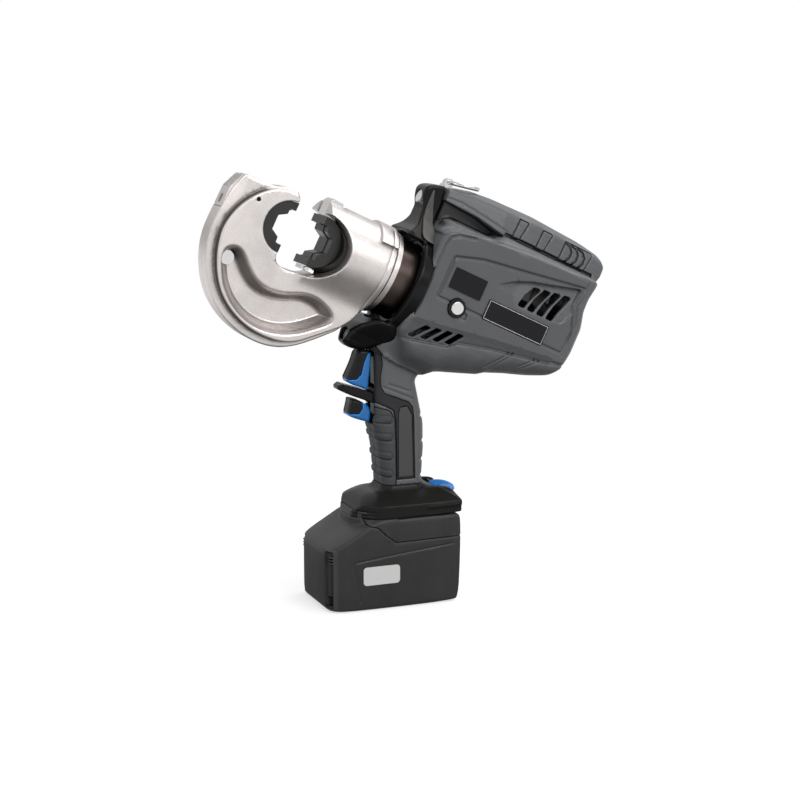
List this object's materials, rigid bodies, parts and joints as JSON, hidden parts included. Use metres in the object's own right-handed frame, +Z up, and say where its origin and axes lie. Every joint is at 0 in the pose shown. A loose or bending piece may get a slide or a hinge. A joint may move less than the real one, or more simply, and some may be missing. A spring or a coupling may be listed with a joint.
{
  "type": "cordless hydraulic crimping tool",
  "caption": "Battery-powered hydraulic crimping tool with a swivelling C-shaped head, two crimping dies, a pistol grip with two triggers, standing on its slide-on battery.",
  "frame": {"origin": "middle of the flat base of the battery, on the plane where the two housing halves meet", "axes": "+Z up, head towards -X, tail of the barrel towards +X, +Y out of the right-hand side; the barrel axis leans 26 degrees in the XZ plane"},
  "size_m": [0.3542, 0.092, 0.3705],
  "materials": {
    "housing_shell": "satin moulded nylon",
    "soft_grip": "fine-grained soft moulding",
    "collar_black": "satin black moulding",
    "lens": "clear lens over a white lamp",
    "bronze": "dark bronze, turned",
    "forged_steel": "satin nickel-plated forging",
    "bright_steel": "ground bright",
    "black_steel": "blackened die steel",
    "plate_black": "dark printed plate, bare",
    "steel_screw": "black-oxide",
    "pump_aluminium": "machined",
    "seal_rubber": "smooth",
    "trigger_black": "satin",
    "control_blue": "semi-gloss blue",
    "battery_case": "fine-textured",
    "cell_wrap": "wrapped cell, density of a lithium cell",
    "holder_plastic": "moulded",
    "copper": "plated contact",
    "white_label": "bare label",
    "board_green": "circuit board"
  },
  "bodies": {
    "housing": {"housing_left": "housing_shell", "housing_right": "housing_shell", "front_collar": "collar_black", "lamp_lenses": "lens", "bearing_ring": "bronze", "finger_guard": "collar_black", "grip_insert_left": "soft_grip", "grip_insert_right": "soft_grip", "front_grip": "soft_grip", "spine_grips": "soft_grip", "name_plate": "plate_black", "rating_plate": "plate_black", "housing_screws": "steel_screw", "button_collar": "trigger_black", "ring_boss": "bright_steel", "pump_block": "pump_aluminium", "pump_piston": "bright_steel", "ring_gear": "bright_steel", "motor_can": "bright_steel", "motor_bearings": "bright_steel", "oil_bladder": "seal_rubber", "trigger_switch": "holder_plastic", "control_board": "board_green", "battery_foot": "collar_black", "terminal_block": "copper", "latch_pin": "bright_steel"},
    "head": {"c_head": "forged_steel", "fixed_die": "black_steel", "web_pin": "bright_steel", "lock_block": "forged_steel", "swivel_neck": "forged_steel", "retaining_nut": "bright_steel", "return_spring": "bright_steel"},
    "lock_pin": {"lock_pin": "bright_steel"},
    "ram": {"ram": "black_steel", "ram_seal": "seal_rubber", "moving_die": "black_steel", "die_retainer": "bright_steel", "die_keeper": "bright_steel"},
    "upper_trigger": {"upper_trigger": "trigger_black", "upper_trigger_cheeks": "control_blue"},
    "lower_trigger": {"lower_trigger": "trigger_black", "lower_trigger_cheeks": "control_blue"},
    "carry_ring": {"carry_ring": "bright_steel"},
    "side_button": {"side_button": "bright_steel"},
    "latch": {"battery_latch": "control_blue"},
    "battery": {"battery_lower": "battery_case", "battery_upper": "battery_case", "battery_cells": "cell_wrap", "cell_holder": "holder_plastic", "battery_terminals": "copper", "battery_label": "white_label"},
    "rotor": {"rotor": "bright_steel"},
    "carrier": {"planet_carrier": "bright_steel"},
    "planet_1": {"planet_1": "bright_steel"},
    "planet_2": {"planet_2": "bright_steel"},
    "planet_3": {"planet_3": "bright_steel"}
  },
  "joints": [
    {"name": "head_rotation", "type": "hinge", "parent": "housing", "child": "head", "pos_m": [0.0039, 0, 0.2818], "axis": [0.8988, 0, -0.4384], "range_deg": [-90, 90]},
    {"name": "ram_slide", "type": "slide", "parent": "head", "child": "ram", "axis": [-0.8988, 0, 0.4384], "range_m": [0, 0.0265]},
    {"name": "lock_pin_slide", "type": "slide", "parent": "head", "child": "lock_pin", "axis": [-0.8988, 0, 0.4384], "range_m": [0, 0.003], "stiffness_N_per_m": 800, "springref_m": -0.002},
    {"name": "upper_trigger_press", "type": "slide", "parent": "housing", "child": "upper_trigger", "axis": [1, 0, 0], "range_m": [0, 0.005], "stiffness_N_per_m": 1200, "springref_m": -0.002},
    {"name": "lower_trigger_press", "type": "slide", "parent": "housing", "child": "lower_trigger", "axis": [1, 0, 0], "range_m": [0, 0.004], "stiffness_N_per_m": 1200, "springref_m": -0.002},
    {"name": "carry_ring_swing", "type": "hinge", "parent": "housing", "child": "carry_ring", "pos_m": [0.06175, 0, 0.35706], "axis": [0, -1, 0], "range_deg": [0, 150]},
    {"name": "side_button_press", "type": "slide", "parent": "housing", "child": "side_button", "axis": [0, 1, 0], "range_m": [0, 0.0015], "stiffness_N_per_m": 1000, "springref_m": -0.001},
    {"name": "latch_press", "type": "hinge", "parent": "housing", "child": "latch", "pos_m": [0.05, 0, 0.095], "axis": [0, 1, 0], "range_deg": [0, 8], "stiffness_Nm_per_rad": 0.6, "springref_deg": -5.73},
    {"name": "battery_slide", "type": "slide", "parent": "housing", "child": "battery", "axis": [-1, 0, 0], "range_m": [0, 0.1]},
    {"name": "motor_spin", "type": "hinge", "parent": "housing", "child": "rotor", "pos_m": [0.00741, 0, 0.28899], "axis": [0.8988, 0, -0.4384], "continuous": true},
    {"name": "carrier_spin", "type": "hinge", "parent": "housing", "child": "carrier", "pos_m": [0.00741, 0, 0.28899], "axis": [0.8988, 0, -0.4384], "continuous": true},
    {"name": "planet_1_spin", "type": "hinge", "parent": "carrier", "child": "planet_1", "pos_m": [0.06134, 0.012, 0.26269], "axis": [0.8988, 0, -0.4384], "continuous": true},
    {"name": "planet_2_spin", "type": "hinge", "parent": "carrier", "child": "planet_2", "pos_m": [0.06589, -0.006, 0.27203], "axis": [0.8988, 0, -0.4384], "continuous": true},
    {"name": "planet_3_spin", "type": "hinge", "parent": "carrier", "child": "planet_3", "pos_m": [0.05678, -0.006, 0.25335], "axis": [0.8988, 0, -0.4384], "continuous": true}
  ],
  "couplings": [
    {"joint": "carrier_spin", "follows": "motor_spin", "ratio": 0.2},
    {"joint": "planet_1_spin", "follows": "motor_spin", "ratio": -0.53333},
    {"joint": "planet_2_spin", "follows": "motor_spin", "ratio": -0.53333},
    {"joint": "planet_3_spin", "follows": "motor_spin", "ratio": -0.53333}
  ]
}
